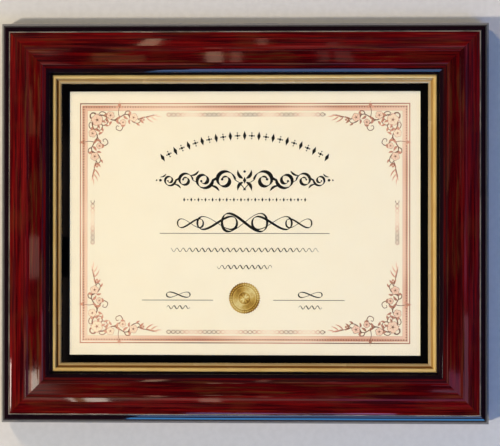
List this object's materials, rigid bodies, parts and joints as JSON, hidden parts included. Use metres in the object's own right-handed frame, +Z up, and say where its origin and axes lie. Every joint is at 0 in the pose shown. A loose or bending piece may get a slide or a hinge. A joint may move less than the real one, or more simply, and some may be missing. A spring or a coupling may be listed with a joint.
{
  "type": "certificate frame",
  "caption": "Landscape wall frame for a certificate: mitred gloss mahogany moulding, gilt slip, black mat, glazing, and a backing held by turn buttons.",
  "frame": {"origin": "on the wall, behind the middle notch of the sawtooth hanger", "axes": "+X to the viewer's right along the long side, +Y into the wall, +Z up"},
  "size_m": [0.354, 0.0283, 0.2906],
  "materials": {
    "mahogany_lacquer": "mirror-gloss lacquer over streaky mahogany, black on the outer bead",
    "gilt": "burnished gilt over a coloured ground",
    "zinc_steel": "bright zinc plate",
    "clear_glazing": "clear polished sheet",
    "black_mat": "black paper-faced mat board",
    "cream_paper": "heavy cream paper with a printed border",
    "gold_foil": "embossed gold foil",
    "filler_card": "grey card",
    "hardboard": "smooth brown hardboard",
    "brassed_steel": "brass-plated steel",
    "bumper_rubber": "moulded rubber"
  },
  "bodies": {
    "frame": {"rail_top": "mahogany_lacquer", "slip_top": "gilt", "rail_bottom": "mahogany_lacquer", "slip_bottom": "gilt", "rail_left": "mahogany_lacquer", "slip_left": "gilt", "rail_right": "mahogany_lacquer", "slip_right": "gilt", "corner_v_nails": "zinc_steel", "glazing": "clear_glazing", "mat": "black_mat", "certificate": "cream_paper", "foil_seal": "gold_foil", "filler_board": "filler_card", "backing_board": "hardboard", "turn_button_screws": "zinc_steel", "sawtooth_hanger": "brassed_steel", "hanger_nails": "brassed_steel", "bumper_top_left": "bumper_rubber", "bumper_top_right": "bumper_rubber", "bumper_bottom_left": "bumper_rubber", "bumper_bottom_right": "bumper_rubber"},
    "turn_button_top_left": {"turn_button_top_left": "zinc_steel"},
    "turn_button_top_right": {"turn_button_top_right": "zinc_steel"},
    "turn_button_bottom_left": {"turn_button_bottom_left": "zinc_steel"},
    "turn_button_bottom_right": {"turn_button_bottom_right": "zinc_steel"},
    "turn_button_left": {"turn_button_left": "zinc_steel"},
    "turn_button_right": {"turn_button_right": "zinc_steel"}
  },
  "joints": [
    {"name": "turn_button_top_left_swivel", "type": "hinge", "parent": "frame", "child": "turn_button_top_left", "pos_m": [-0.085, -0.00385, -0.0063], "axis": [0, 1, 0], "continuous": true},
    {"name": "turn_button_top_right_swivel", "type": "hinge", "parent": "frame", "child": "turn_button_top_right", "pos_m": [0.085, -0.00385, -0.0063], "axis": [0, 1, 0], "continuous": true},
    {"name": "turn_button_bottom_left_swivel", "type": "hinge", "parent": "frame", "child": "turn_button_bottom_left", "pos_m": [-0.085, -0.00385, -0.2473], "axis": [0, 1, 0], "continuous": true},
    {"name": "turn_button_bottom_right_swivel", "type": "hinge", "parent": "frame", "child": "turn_button_bottom_right", "pos_m": [0.085, -0.00385, -0.2473], "axis": [0, 1, 0], "continuous": true},
    {"name": "turn_button_left_swivel", "type": "hinge", "parent": "frame", "child": "turn_button_left", "pos_m": [-0.15225, -0.00385, -0.1268], "axis": [0, 1, 0], "continuous": true},
    {"name": "turn_button_right_swivel", "type": "hinge", "parent": "frame", "child": "turn_button_right", "pos_m": [0.15225, -0.00385, -0.1268], "axis": [0, 1, 0], "continuous": true}
  ]
}
